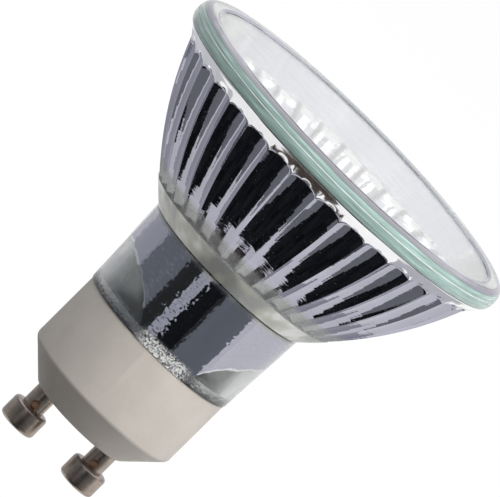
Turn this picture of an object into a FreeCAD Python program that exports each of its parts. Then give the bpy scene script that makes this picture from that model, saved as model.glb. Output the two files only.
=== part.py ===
"""Mains reflector lamp with a twist-lock pin base and a bonded front glass.

Millimetres. +Z is the lamp's axis, from the base up to the front glass. The origin is on the
axis, on the ceramic seat face that the contact pins come out of, and the pins stand along X.
"""
import FreeCAD, Part
import math
import os

Vector = FreeCAD.Vector
CENTRE = Vector(0, 0, 0)
UP = Vector(0, 0, 1)
FRONT = Vector(0, -1, 0)

# Contact pins
pin_spacing = 10.0
pin_reach = 6.0
pin_head_dia = 5.0
pin_head_height = 3.0
pin_head_round = 0.45
pin_shank_dia = 3.0
pin_flange_dia = 4.4
pin_flange_height = 0.8
pin_hole_clearance = 0.05
pin_end_wall = 2.0
crimp_dia = 1.3
crimp_depth = 0.5
crimp_above_head = 0.6

# Ceramic base
base_dia = 22.0
base_seat_dia = 14.0
base_chamfer_height = 4.0
base_height = 13.6
base_wall = 1.4
base_floor = 3.2
base_edge_round = 0.8
base_seat_round = 0.3
base_mouth_round = 0.2

# Reflector: one pressed piece of glass, from its spigot in the base to its rim
spigot_length = 4.0
spigot_gap = 0.5
neck_foot_dia = 22.3
neck_top_dia = 23.5
neck_height = 11.8
neck_wall = 1.5
neck_floor = 1.2
neck_fillet = 0.5
bowl_height = 18.05
bowl_arc_radius = 45.0
bowl_wall = 1.4
rim_dia = 50.0
rim_overhang = 1.4
rim_thickness = 2.3
rim_flare = 38.5
rim_round = 1.5

# Flutes pressed into the bowl: hollow channels outside, petals inside
flute_count = 36
flute_radius = 3.0
flute_step = 0.1
flute_turn = -2.4
flute_foot_height = 2.6
flute_head_drop = 0.35
flute_end_round = 0.75
petal_foot_height = 4.8
petal_head_drop = 1.1

# Front glass and the adhesive bead under it
cover_inset = 0.05
cover_edge_thickness = 1.15
cover_thickness = 0.9
cover_round = 1.1
cover_lip_width = 2.2
cover_lip_slope = 0.5
bead_thickness = 0.15
bead_width = 1.5
bead_inset = 0.5

# Quartz capsule with its flat pinch
capsule_dia = 9.2
capsule_wall = 0.9
capsule_tube_length = 10.0
capsule_tip_dia = 2.0
capsule_tip_height = 1.2
pinch_width = 8.4
pinch_thickness = 3.0
pinch_length = 8.6
pinch_stand = 3.2
pinch_round = 0.6

# Filament, leads and sealing foils
lead_dia = 0.6
lead_spacing = 4.0
lead_rise = 3.0
lead_knee = 0.7
lead_end_gap = 0.1
coil_dia = 0.8
coil_leg_length = 6.5
support_dia = 0.4
support_seat = 2.0
support_gap = 0.05
foil_width = 2.2
foil_length = 5.0
foil_thickness = 0.1
foil_margin = 1.6
wire_clearance = 0.02

# Cements
pot_cement_gap = 0.2
neck_cement_drop = 0.3

# How near an edge's centre lies to the place it is looked for at
edge_tolerance = 0.01

# Heights and radii that follow from the sizes above
pin_x = pin_spacing / 2
pin_top_z = base_floor + pin_flange_height
pin_bore_z = pin_end_wall - pin_reach
head_top_z = pin_head_height - pin_reach
base_radius = base_dia / 2
seat_radius = base_seat_dia / 2
cup_radius = base_radius - base_wall
spigot_radius = cup_radius - spigot_gap
spigot_low_z = base_height - spigot_length
neck_foot_radius = neck_foot_dia / 2
neck_top_radius = neck_top_dia / 2
neck_top_z = base_height + neck_height
rim_radius = rim_dia / 2
bowl_mouth_radius = rim_radius - rim_overhang
rim_low_z = neck_top_z + bowl_height
rim_top_z = rim_low_z + rim_thickness
cover_radius = rim_radius - cover_inset
cover_low_z = rim_top_z + bead_thickness
cover_top_z = cover_low_z + cover_edge_thickness
capsule_radius = capsule_dia / 2
chamber_radius = capsule_radius - capsule_wall
pinch_low_z = base_floor + pinch_stand
pinch_top_z = pinch_low_z + pinch_length
tube_low_z = pinch_top_z + chamber_radius
tube_top_z = tube_low_z + capsule_tube_length
lead_x = lead_spacing / 2
foil_low_z = pinch_low_z + foil_margin
foil_top_z = foil_low_z + foil_length
coil_low_z = pinch_top_z + lead_rise
coil_bend_z = coil_low_z + coil_leg_length
flute_pitch = 360.0 / flute_count
SIDES = {"left": -1, "right": 1}


def at(r, z):
    """A point of the XZ plane at a radius and a height."""
    return Vector(r, 0, z)


def lines(*points):
    """Straight edges from point to point."""
    return [Part.LineSegment(a, b).toShape() for a, b in zip(points, points[1:])]


def arc(start, middle, end):
    """An arc through three points."""
    return Part.Arc(start, middle, end).toShape()


def quarter(centre, radius, from_degrees):
    """A quarter circle in the XZ plane, anticlockwise from an angle."""
    angles = [math.radians(from_degrees + turn) for turn in (0, 45, 90)]
    points = [centre + at(radius * math.cos(a), radius * math.sin(a)) for a in angles]
    return arc(*points)


def spin(edges, turn=360.0):
    """A solid of revolution about Z from a closed outline in the XZ plane."""
    return Part.Face(Part.Wire(edges)).revolve(CENTRE, UP, turn)


def column(radius, z0, z1, x=0.0):
    """An upright cylinder between two heights."""
    return Part.makeCylinder(radius, z1 - z0, at(x, z0))


def slab(width, depth, z0, z1, x=0.0):
    """An upright block centred on Y = 0."""
    return Part.makeBox(width, depth, z1 - z0, Vector(x - width / 2, -depth / 2, z0))


def edges_where(shape, test):
    """The edges of a shape whose centre passes a test."""
    return [edge for edge in shape.Edges if test(edge.CenterOfMass)]


def round_the_axis(shape):
    """A copy of a shape for each flute, evenly spaced about Z from the first flute's turn."""
    copies = []
    for index in range(flute_count):
        copy = shape.copy()
        copy.rotate(CENTRE, UP, flute_turn + flute_pitch * index)
        copies.append(copy)
    return copies


class BowlArc:
    """The plain outer arc of the bowl in the XZ plane, from the neck's top to the mouth."""

    def __init__(self):
        start = at(neck_top_radius, neck_top_z)
        end = at(bowl_mouth_radius, rim_low_z)
        chord = end - start
        rise = math.sqrt(bowl_arc_radius ** 2 - (chord.Length / 2) ** 2)
        inward = at(-chord.z, chord.x).normalize()
        self.centre = start + chord / 2 + inward * rise
        self.start_angle = self.angle_at_height(neck_top_z)
        self.end_angle = self.angle_at_height(rim_low_z)

    def point(self, angle, offset=0.0):
        """The point at an angle about the arc's centre, offset outwards."""
        radius = bowl_arc_radius + offset
        return self.centre + at(radius * math.cos(angle), radius * math.sin(angle))

    def angle_at_height(self, z, offset=0.0):
        """The angle at which the offset arc passes a height."""
        return math.asin((z - self.centre.z) / (bowl_arc_radius + offset))

    def edge(self, from_angle, to_angle, offset=0.0):
        """The stretch of the offset arc between two angles."""
        angles = (from_angle, (from_angle + to_angle) / 2, to_angle)
        return arc(*[self.point(angle, offset) for angle in angles])


bowl = BowlArc()


def flute_stand_off(angle):
    """How far outside the plain arc a flute's centre line runs, for arrises one step below that arc."""
    half_pitch = math.pi * bowl.point(angle, -flute_step).x / flute_count
    return math.sqrt(flute_radius ** 2 - half_pitch ** 2) - flute_step


def flute_bar(radius, low, high, end_round):
    """A round bar bent along one flute's centre line between two angles, with its head end rounded."""
    middle = (low + high) / 2
    path = arc(*[bowl.point(angle, flute_stand_off(angle)) for angle in (low, middle, high)])
    low_end = path.valueAt(path.FirstParameter)
    disc = Part.Face(Part.Wire(Part.makeCircle(radius, low_end, path.tangentAt(path.FirstParameter))))
    sweep = math.degrees(path.LastParameter - path.FirstParameter)
    bar = disc.revolve(path.Curve.Center, path.Curve.Axis, sweep)
    high_end = path.valueAt(path.LastParameter)
    head_edges = edges_where(bar, lambda c: c.distanceToPoint(high_end) < edge_tolerance)
    return bar.makeFillet(end_round, head_edges)


def sector(edges):
    """The share of a turned form that belongs to one flute, with the flute's middle on the X axis."""
    wedge = spin(edges, flute_pitch)
    wedge.rotate(CENTRE, UP, -flute_pitch / 2)
    return wedge


def rim_flare_edges():
    """The flare under the rim and the round that turns it up into the rim's side."""
    flare = math.radians(rim_flare)
    mouth = at(bowl_mouth_radius, rim_low_z)
    corner = mouth + at(rim_overhang, rim_overhang * math.tan(flare))
    reach = rim_round * math.tan((math.pi / 2 - flare) / 2)
    round_start = corner - at(reach * math.cos(flare), reach * math.sin(flare))
    round_end = corner + at(0, reach)
    edges = lines(mouth, round_start)
    edges.append(bend(round_start, corner, round_end))
    return edges + lines(round_end, at(rim_radius, rim_top_z))


def reflector_outside():
    """The outer form of one sector of the reflector: spigot, neck, fluted bowl and rim."""
    outline = lines(at(0, spigot_low_z), at(spigot_radius, spigot_low_z), at(spigot_radius, base_height),
                    at(neck_foot_radius, base_height), at(neck_top_radius, neck_top_z))
    outline.append(bowl.edge(bowl.start_angle, bowl.end_angle))
    outline += rim_flare_edges()
    outline += lines(at(rim_radius, rim_top_z), at(0, rim_top_z), at(0, spigot_low_z))
    foot = bowl.angle_at_height(neck_top_z + flute_foot_height)
    head = bowl.angle_at_height(rim_low_z - flute_head_drop)
    body = sector(outline)
    body = body.makeFillet(neck_fillet, edges_where(body, lambda c: abs(c.z - neck_top_z) < edge_tolerance))
    return body.cut(flute_bar(flute_radius, foot, head, flute_end_round))


def reflector_hollow():
    """The hollow of one sector of the reflector, with a petal standing into it behind the flute."""
    bore = spigot_radius - neck_wall
    floor_z = base_height + neck_floor
    slope = (neck_top_radius - neck_foot_radius) / neck_height
    start = bowl.angle_at_height(neck_top_z, -bowl_wall)
    end = bowl.angle_at_height(rim_top_z, -bowl_wall)
    outline = lines(at(0, spigot_low_z), at(bore, spigot_low_z), at(bore, floor_z),
                    at(neck_foot_radius + slope * neck_floor - neck_wall, floor_z),
                    bowl.point(start, -bowl_wall))
    outline.append(bowl.edge(start, end, -bowl_wall))
    outline += lines(bowl.point(end, -bowl_wall), at(0, rim_top_z), at(0, spigot_low_z))
    foot = bowl.angle_at_height(neck_top_z + petal_foot_height, -bowl_wall)
    head = bowl.angle_at_height(rim_low_z - petal_head_drop, -bowl_wall)
    bar = flute_bar(flute_radius + bowl_wall, foot, head, flute_end_round + bowl_wall)
    return sector(outline).cut(bar)


def reflector_glass():
    """The pressed glass reflector, joined from one sector for each flute."""
    flute_sector = reflector_outside().cut(reflector_hollow())
    first, *others = round_the_axis(flute_sector)
    return first.fuse(others).removeSplitter()


def cup_outline(top_z):
    """The inside of the ceramic cup up to a height: a floor, a slope along the chamfer and a bore."""
    chamfer = math.atan2(base_radius - seat_radius, base_chamfer_height)
    run = math.tan(chamfer)
    floor_radius = seat_radius + run * base_floor - base_wall / math.cos(chamfer)
    bore_z = base_floor + (cup_radius - floor_radius) / run
    return lines(at(0, base_floor), at(floor_radius, base_floor), at(cup_radius, bore_z),
                 at(cup_radius, top_z), at(0, top_z), at(0, base_floor))


def ceramic_base():
    """The turned ceramic cup, with a hole for each contact pin."""
    body = spin(lines(at(0, 0), at(seat_radius, 0), at(base_radius, base_chamfer_height),
                      at(base_radius, base_height), at(0, base_height), at(0, 0)))
    rounds = {base_seat_round: 0.0, base_edge_round: base_chamfer_height, base_mouth_round: base_height}
    for radius, height in rounds.items():
        body = body.makeFillet(radius, edges_where(body, lambda c: abs(c.z - height) < edge_tolerance))
    body = body.cut(spin(cup_outline(base_height)))
    hole = pin_shank_dia / 2 + pin_hole_clearance
    return body.cut([column(hole, 0, base_floor, side * pin_x) for side in SIDES.values()])


def contact_pin(side):
    """A turned pin: round head, shank, inner flange, a bore for the lead and a crimp mark in front."""
    head = column(pin_head_dia / 2, -pin_reach, head_top_z)
    head = head.makeFillet(pin_head_round, edges_where(head, lambda c: abs(c.x) < edge_tolerance))
    shank = column(pin_shank_dia / 2, head_top_z, base_floor)
    flange = column(pin_flange_dia / 2, base_floor, pin_top_z)
    bore = column(lead_dia / 2 + wire_clearance, pin_bore_z, pin_top_z)
    mark_start = Vector(0, -pin_shank_dia / 2, head_top_z + crimp_above_head)
    mark = Part.makeCone(crimp_dia / 2, crimp_dia / 4, crimp_depth, mark_start, -FRONT)
    pin = head.fuse([shank, flange]).removeSplitter().cut([bore, mark])
    pin.translate(at(side * pin_x, 0))
    return pin


def cover_glass():
    """The front glass: a flat plate with a raised, rounded lip."""
    round_centre = at(cover_radius - cover_round, cover_top_z - cover_round)
    lip_inner = cover_radius - cover_lip_width
    plate_z = cover_low_z + cover_thickness
    outline = lines(at(0, cover_low_z), at(cover_radius, cover_low_z), round_centre + at(cover_round, 0))
    outline.append(quarter(round_centre, cover_round, 0))
    outline += lines(round_centre + at(0, cover_round), at(lip_inner, cover_top_z),
                     at(lip_inner - cover_lip_slope, plate_z), at(0, plate_z), at(0, cover_low_z))
    return spin(outline)


def cover_bead():
    """The ring of adhesive between the reflector's rim and the front glass."""
    outer = rim_radius - bead_inset
    ring = column(outer, rim_top_z, cover_low_z)
    return ring.cut(column(outer - bead_width, rim_top_z, cover_low_z))


def neck_cement():
    """The ring of cement between the reflector's spigot and the ceramic cup."""
    top = base_height - neck_cement_drop
    return column(cup_radius, spigot_low_z, top).cut(column(spigot_radius, spigot_low_z, top))


def pinch_slab():
    """The flat pinch of the capsule with rounded long edges."""
    block = slab(pinch_width, pinch_thickness, pinch_low_z, pinch_top_z)
    upright = edges_where(block, lambda c: abs(abs(c.x) - pinch_width / 2) < edge_tolerance
                          and abs(abs(c.y) - pinch_thickness / 2) < edge_tolerance)
    return block.makeFillet(pinch_round, upright)


def bullet(radius):
    """A tube with a dome at both ends, on the capsule's axis."""
    tube = column(radius, tube_low_z, tube_top_z)
    domes = [Part.makeSphere(radius, at(0, z)) for z in (tube_low_z, tube_top_z)]
    return tube.fuse(domes)


def capsule_envelope():
    """The quartz capsule: domed tube, sealed-off tip and pinch, hollow where the wires and foils run."""
    tip_z = tube_top_z + chamber_radius
    tip_top_z = tube_top_z + capsule_radius + capsule_tip_height
    tip = Part.makeCone(capsule_tip_dia / 2, capsule_tip_dia / 4, tip_top_z - tip_z, at(0, tip_z))
    glass = bullet(capsule_radius).fuse([pinch_slab(), tip]).removeSplitter()
    hollows = [bullet(chamber_radius)]
    for side in SIDES.values():
        hollows.append(sealing_foil(side, wire_clearance))
        hollows.append(inner_lead(side, wire_clearance))
        hollows.append(outer_lead(side, wire_clearance))
    hollows.append(filament_support(wire_clearance))
    return glass.cut(hollows)


def sealing_foil(side, grow=0.0):
    """A thin metal foil in the pinch, which carries the current through the seal."""
    return slab(foil_width + 2 * grow, foil_thickness + 2 * grow, foil_low_z, foil_top_z, side * lead_x)


def inner_lead(side, grow=0.0):
    """The wire from a foil's top up to the filament."""
    return column(lead_dia / 2 + grow, foil_top_z, coil_low_z, side * lead_x)


def outer_lead(side, grow=0.0):
    """The wire from a foil's foot, out of the pinch and over into the bore of its pin."""
    knee_high = at(side * lead_x, pinch_low_z - lead_knee)
    knee_low = at(side * pin_x, pin_top_z + lead_knee)
    slant = (knee_low - knee_high).normalize()
    high_end = knee_high + at(0, lead_knee)
    low_end = knee_low - at(0, lead_knee)
    start = at(side * lead_x, foil_low_z)
    edges = lines(start, high_end)
    edges.append(bend(high_end, knee_high, knee_high + slant * lead_knee))
    edges += lines(knee_high + slant * lead_knee, knee_low - slant * lead_knee)
    edges.append(bend(knee_low - slant * lead_knee, knee_low, low_end))
    edges += lines(low_end, at(side * pin_x, pin_bore_z + lead_end_gap))
    wire = Part.Wire(edges)
    circle = Part.Wire(Part.makeCircle(lead_dia / 2 + grow, start, -UP))
    return wire.makePipeShell([circle], True, False)


def bend(start, corner, end):
    """The arc that leaves a corner's first run at start and joins its second run at end."""
    inward = (start - corner) + (end - corner)
    half_turn = (start - corner).getAngle(end - corner) / 2
    reach = (start - corner).Length
    middle = corner + inward.normalize() * (reach / math.cos(half_turn) - reach * math.tan(half_turn))
    return arc(start, middle, end)


def filament_coil():
    """The tungsten coil's outer form: two legs and a bend over the support."""
    left = at(-lead_x, coil_low_z)
    left_bend = at(-lead_x, coil_bend_z)
    right_bend = at(lead_x, coil_bend_z)
    right = at(lead_x, coil_low_z)
    edges = lines(left, left_bend)
    edges.append(arc(left_bend, at(0, coil_bend_z + lead_x), right_bend))
    edges += lines(right_bend, right)
    circle = Part.Wire(Part.makeCircle(coil_dia / 2, left, UP))
    return Part.Wire(edges).makePipeShell([circle], True, False)


def filament_support(grow=0.0):
    """The wire that stands in the pinch and carries the middle of the coil."""
    top = coil_bend_z + lead_x - coil_dia / 2 - support_gap
    return column(support_dia / 2 + grow, pinch_top_z - support_seat, top)


def pot_cement():
    """The cement in the cup, which holds the pinch, the pin flanges and the outer leads."""
    fill = spin(cup_outline(spigot_low_z - pot_cement_gap))
    hollows = [pinch_slab()]
    for side in SIDES.values():
        hollows.append(column(pin_flange_dia / 2, base_floor, pin_top_z, side * pin_x))
        hollows.append(outer_lead(side, wire_clearance))
    return fill.cut(hollows)


def all_pieces():
    """Every piece of the lamp by its node name."""
    pieces = {
        "ceramic_base": ceramic_base(),
        "reflector_glass": reflector_glass(),
        "neck_cement": neck_cement(),
        "cover_glass": cover_glass(),
        "cover_bead": cover_bead(),
        "pot_cement": pot_cement(),
        "capsule_envelope": capsule_envelope(),
        "filament_coil": filament_coil(),
        "filament_support": filament_support(),
    }
    for name, side in SIDES.items():
        pieces["contact_pin_" + name] = contact_pin(side)
        pieces["sealing_foil_" + name] = sealing_foil(side)
        pieces["inner_lead_" + name] = inner_lead(side)
        pieces["outer_lead_" + name] = outer_lead(side)
    return pieces


os.makedirs("parts", exist_ok=True)
for node, shape in all_pieces().items():
    shape.exportStep("parts/%s.step" % node)
    print(node, shape.isValid(), len(shape.Solids), round(shape.Volume, 3))
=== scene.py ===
"""Looks of a mains reflector lamp: mirrored fluted glass, front glass, ceramic base and contact pins."""
import math

import bmesh
import bpy
from bpy.props import FloatProperty, FloatVectorProperty, IntProperty, PointerProperty
from bpy.types import Operator, Panel, PropertyGroup
from mathutils import Matrix, Vector


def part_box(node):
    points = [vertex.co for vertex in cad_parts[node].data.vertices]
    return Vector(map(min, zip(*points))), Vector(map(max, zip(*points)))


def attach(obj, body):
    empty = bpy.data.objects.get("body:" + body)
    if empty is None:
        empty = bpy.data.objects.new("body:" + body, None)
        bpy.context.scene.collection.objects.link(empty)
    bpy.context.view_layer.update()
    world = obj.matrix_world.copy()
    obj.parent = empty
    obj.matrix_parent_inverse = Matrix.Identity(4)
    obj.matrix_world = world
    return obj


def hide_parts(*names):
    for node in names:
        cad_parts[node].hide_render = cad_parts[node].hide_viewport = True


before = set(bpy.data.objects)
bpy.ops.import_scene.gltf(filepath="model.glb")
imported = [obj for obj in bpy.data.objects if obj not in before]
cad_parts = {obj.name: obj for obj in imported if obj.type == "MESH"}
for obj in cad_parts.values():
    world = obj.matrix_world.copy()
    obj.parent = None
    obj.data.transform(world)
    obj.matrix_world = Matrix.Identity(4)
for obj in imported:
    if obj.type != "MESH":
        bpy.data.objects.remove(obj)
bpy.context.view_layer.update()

bl_info = {
    "name": "Reflector Lamp",
    "version": (1, 0, 0),
    "blender": (4, 5, 0),
    "location": "3D View > Sidebar > Lamp",
    "description": "Dresses a pin-base reflector lamp in glass, mirror film, ceramic and metal",
    "category": "Add Mesh",
}

MM = 0.001
BASE_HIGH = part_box("ceramic_base")[1]
REFLECTOR_LOW, REFLECTOR_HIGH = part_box("reflector_glass")
COVER_LOW, COVER_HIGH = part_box("cover_glass")
COIL_LOW, COIL_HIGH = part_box("filament_coil")
LEAD_LOW, LEAD_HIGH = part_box("inner_lead_right")
PIN_LOW, PIN_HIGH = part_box("contact_pin_right")
SHARP_ANGLE = math.radians(24)
MERGE_REACH, SLIVER_REACH = 1e-7, 1e-8
GLASS_IOR, QUARTZ_IOR = 1.5, 1.46
WHITE = (1.0, 1.0, 1.0, 1.0)

# Finish of each row of the reflector's section, by its place in the list of finishes, and how its edges shade
CLEAR, FILM, BAND, BOND, PETAL = 0, 1, 2, 3, 4
SMOOTH, FACET = True, False
NECK_ROWS, ROUND_ROWS, WALL_ROWS, BAND_ROWS = 8, 5, 4, 3
RIM_STEPS, FILMED_RIM_STEPS = 12, 4
COLLAR_FOOT, COLLAR_ROWS = 0.3, (0.5, 0.75)

# The middle of the neck's foot, beside the axis, where bright flecks paint a sparkle, and the windows' edge
# as shares of the neck's radius
SPARKLE_SIDE, SPARKLE_REACH = 1.5 * MM, 2.5 * MM
WINDOW_START, WINDOW_SPAN = 0.41, 0.58


def length(name, about, default):
    """A size in metres that a user would change."""
    return FloatProperty(name=name, description=about, default=default, min=0.0, unit="LENGTH",
                         precision=5)


def colour(name, about, default):
    """A linear colour that a user would change."""
    return FloatVectorProperty(name=name, description=about, default=default, subtype="COLOR",
                               min=0.0, max=1.0)


def angle(name, about, degrees):
    """An angle, given in degrees."""
    return FloatProperty(name=name, description=about, default=math.radians(degrees), subtype="ANGLE")


def number(name, about, default, least):
    """A number of like things."""
    return IntProperty(name=name, description=about, default=default, min=least)


class LampSizes(PropertyGroup):
    """The sizes of the reflector, the front glass and the small parts."""
    rim_radius: length("Rim radius", "Outer radius of the reflector's rim", REFLECTOR_HIGH.x)
    rim_top: length("Rim top", "Height of the reflector's rim", REFLECTOR_HIGH.z)
    rim_thickness: length("Rim thickness", "Height of the reflector's rim over the bowl's mouth", 2.3 * MM)
    rim_flare: angle("Rim flare", "Slope of the flare under the rim", 38.5)
    rim_round: length("Rim round", "Round from the flare to the rim's side", 1.5 * MM)
    rim_overhang: length("Rim overhang", "How far the rim stands out from the bowl's mouth", 1.4 * MM)
    spigot_low: length("Spigot foot", "Height of the spigot's foot in the base", REFLECTOR_LOW.z)
    spigot_radius: length("Spigot radius", "Radius of the spigot in the base", 9.1 * MM)
    base_top: length("Base top", "Height of the ceramic base", BASE_HIGH.z)
    neck_foot: length("Neck foot radius", "Radius of the neck where it meets the base", 11.15 * MM)
    neck_top: length("Neck top radius", "Radius of the neck under the collar", 11.75 * MM)
    neck_height: length("Neck height", "Height of the neck", 11.8 * MM)
    neck_wall: length("Neck wall", "Thickness of the neck's wall", 1.5 * MM)
    neck_floor: length("Neck floor", "Thickness of the step at the neck's foot", 1.2 * MM)
    neck_fillet: length("Neck fillet", "Round between the neck and the bowl", 0.5 * MM)
    bowl_arc: length("Bowl arc", "Radius of the bowl's outline", 45.0 * MM)
    bowl_wall: length("Bowl wall", "Thickness of the bowl's wall", 1.4 * MM)
    flutes: number("Flutes", "Number of flutes round the bowl", 36, 8)
    flute_radius: length("Flute radius", "Radius of each hollow flute", 3.0 * MM)
    flute_step: length("Flute step", "Depth of the arrises below the plain bowl", 0.1 * MM)
    flute_foot: length("Flute foot", "Height of the plain collar under the flutes", 2.6 * MM)
    flute_head: length("Flute head", "Height of the plain band over the flutes", 0.35 * MM)
    flute_end: length("Flute end", "Round of the flutes' heads", 0.75 * MM)
    petal_foot: length("Petal foot", "Height of the plain wall under the petals inside", 4.8 * MM)
    petal_head: length("Petal head", "Height of the plain wall over the petals inside", 0.6 * MM)
    facets: number("Facets", "Mirror facets along each petal", 7, 3)
    steps: number("Steps", "Flat steps along each flute", 10, 3)
    flute_turn: angle("Flute turn", "Turn of the first flute about the axis", -2.4)
    cover_radius: length("Cover radius", "Radius of the front glass", COVER_HIGH.x)
    cover_low: length("Cover foot", "Height of the front glass's underside", COVER_LOW.z)
    cover_top: length("Cover top", "Height of the front glass's lip", COVER_HIGH.z)
    cover_plate: length("Plate thickness", "Thickness of the flat of the front glass", 0.9 * MM)
    cover_round: length("Cover round", "Round of the front glass's edge", 1.1 * MM)
    cover_lip: length("Lip width", "Width of the raised lip of the front glass", 2.2 * MM)
    cover_slope: length("Lip slope", "Width of the slope from the lip to the flat", 0.5 * MM)
    bead_inset: length("Bead inset", "From the rim's side to the ring of adhesive", 0.05 * MM)
    bead_width: length("Bead width", "Width of the ring of adhesive", 2.15 * MM)
    bead_gap: length("Bead gap", "Clearance under and over the ring of adhesive", 0.01 * MM)
    window_turn: angle("Window turn", "Turn of the bare windows about the axis", 9.3)
    window_foot: length("Window foot", "Height at which the windows' edge starts", 12.7 * MM)
    window_rise: length("Window rise", "Rise of the windows' edge", 6.8 * MM)
    pin_head: length("Pin head", "Height of the contact pins' heads", 3.0 * MM)
    crimp_rise: length("Crimp rise", "Height of the crimp marks over the pins' heads", 0.6 * MM)
    coil_wire: length("Coil wire", "Thickness of the filament's wire", 0.16 * MM)
    coil_turns: number("Coil turns", "Turns of the filament's wire", 56, 4)
    coil_steps: number("Coil steps", "Straight steps in each turn of the filament's wire", 14, 6)


class LampColours(PropertyGroup):
    """The colours of the lamp's finishes."""
    film: colour("Mirror film", "Colour of the mirror film", (0.43, 0.43, 0.50))
    dull: colour("Dull film", "Colour of the film at the foot of the flutes", (0.44, 0.45, 0.44))
    collar: colour("Collar film", "Colour of the film behind the plain collar", (0.64, 0.64, 0.56))
    window: colour("Bare glass", "Tint of the bare glass at the neck's foot", (0.21, 0.225, 0.22))
    glass: colour("Glass", "Tint of the clear glass", (0.97, 0.985, 0.98))
    edge: colour("Glass edge", "Colour of the glass where it is seen edge on", (0.38, 0.53, 0.49))
    ceramic: colour("Ceramic", "Colour of the fired ceramic", (0.60, 0.555, 0.505))
    pin: colour("Pin metal", "Colour of the dull nickel plate", (0.29, 0.245, 0.21))
    copper: colour("Crimp metal", "Bare metal inside the crimp marks", (0.66, 0.48, 0.34))
    cement: colour("Cement", "Colour of the set cement", (0.68, 0.66, 0.61))
    wire: colour("Lamp wire", "Colour of the drawn wire", (0.30, 0.29, 0.28))
    adhesive: colour("Adhesive", "Colour of the set adhesive", (0.80, 0.88, 0.85))


class StageSettings(PropertyGroup):
    """Where the camera stands and how the stage is lit."""
    elevation: angle("Elevation", "How far the camera looks down", 8.7)
    tilt: angle("Tilt", "Slope of the lamp's axis in the picture", 44.774)
    distance: length("Distance", "From the camera to its target", 2.3)
    view_width: length("View width", "Width of the picture at the target", 500 / 8.366 * MM)
    target_side: FloatProperty(name="Target side", description="Target beside the axis", unit="LENGTH",
                               default=-0.161 * MM)
    target_height: length("Target height", "Height of the camera's target", 29.222 * MM)
    floor_drop: length("Floor drop", "How far the floor lies under the pins", 34 * MM)


class Wire:
    """A shader socket that takes part in sums."""

    def __init__(self, finish, socket):
        self.finish = finish
        self.socket = socket

    def calc(self, operation, *others):
        """A Math node on this socket and other values."""
        values = dict(enumerate((self,) + others))
        return self.finish.node("ShaderNodeMath", {"operation": operation}, values).out(0)

    def __add__(self, other):
        return self.calc("ADD", other)

    __radd__ = __add__

    def __sub__(self, other):
        return self.calc("SUBTRACT", other)

    def __rsub__(self, other):
        return self.finish.node("ShaderNodeMath", {"operation": "SUBTRACT"}, {0: other, 1: self}).out(0)

    def __mul__(self, other):
        return self.calc("MULTIPLY", other)

    __rmul__ = __mul__

    def __truediv__(self, other):
        return self.calc("DIVIDE", other)

    def __pow__(self, other):
        return self.calc("POWER", other)

    def __abs__(self):
        return self.calc("ABSOLUTE")


class Made:
    """A shader node that hands out its outputs as wires."""

    def __init__(self, finish, node):
        self.finish = finish
        self.node = node

    def out(self, key):
        """One output of the node."""
        return Wire(self.finish, self.node.outputs[key])


class Finish:
    """The nodes of a material, or of the world, under construction."""

    def __init__(self, name, family="materials"):
        self.owner = getattr(bpy.data, family).new(name)
        self.owner.use_nodes = True
        self.tree = self.owner.node_tree
        self.tree.nodes.clear()

    def node(self, kind, settings=None, sockets=None):
        """A node of a type, with its settings first and then the values or links of its sockets."""
        node = self.tree.nodes.new(kind)
        for key, value in (settings or {}).items():
            setattr(node, key, value)
        for key, value in (sockets or {}).items():
            if isinstance(value, Wire):
                self.tree.links.new(value.socket, node.inputs[key])
            else:
                node.inputs[key].default_value = value
        return Made(self, node)

    def place(self):
        """The shaded point in the lamp's frame."""
        return self.node("ShaderNodeTexCoord").out("Object")

    def split(self, where):
        """The X, Y and Z of a place."""
        parts = self.node("ShaderNodeSeparateXYZ", None, {0: where})
        return parts.out("X"), parts.out("Y"), parts.out("Z")

    def noise(self, where, scale, detail=3.0, roughness=0.55):
        """Soft noise between 0 and 1."""
        return self.node("ShaderNodeTexNoise", None,
                         {"Vector": where, "Scale": scale, "Detail": detail, "Roughness": roughness}).out(0)

    def stretched(self, where, scale):
        """A place stretched along its axes."""
        return self.node("ShaderNodeMapping", None, {"Vector": where, "Scale": scale}).out(0)

    def ramp(self, value, low, high):
        """0 below one value and 1 above another."""
        return self.node("ShaderNodeMapRange", {"interpolation_type": "SMOOTHSTEP", "clamp": True},
                         {"Value": value, "From Min": low, "From Max": high}).out(0)

    def fade(self, value, low, high):
        """1 below one value and 0 above another."""
        return 1 - self.ramp(value, low, high)

    def mix(self, share, first, second):
        """A colour between two colours."""
        sockets = {0: share, 6: as_rgba(first), 7: as_rgba(second)}
        return self.node("ShaderNodeMix", {"data_type": "RGBA"}, sockets).out(2)

    def blend(self, share, first, second):
        """A surface between two surfaces."""
        return self.node("ShaderNodeMixShader", None, {0: share, 1: first, 2: second}).out(0)

    def bump(self, height, strength, reach):
        """A normal from a height."""
        return self.node("ShaderNodeBump", None,
                         {"Height": height, "Strength": strength, "Distance": reach}).out(0)

    def principled(self, **sockets):
        """The main shader."""
        named = {key.replace("_", " "): value for key, value in sockets.items()}
        return self.node("ShaderNodeBsdfPrincipled", None, named).out(0)

    def done(self, surface, output="ShaderNodeOutputMaterial"):
        """End the nodes with their surface."""
        self.node(output, None, {"Surface": surface})
        return self.owner

    def coat(self, **sockets):
        """End the nodes with the main shader alone."""
        return self.done(self.principled(**sockets))


def as_rgba(value):
    """A colour with alpha, or the wire itself."""
    if isinstance(value, Wire):
        return value
    return tuple(value[:3]) + (1.0,)


def shaded(tone, share):
    """A colour made darker or lighter."""
    return tuple(share * part for part in tone)


def from_axis(x, y):
    """Distance from the lamp's axis."""
    return (x * x + y * y) ** 0.5


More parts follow.
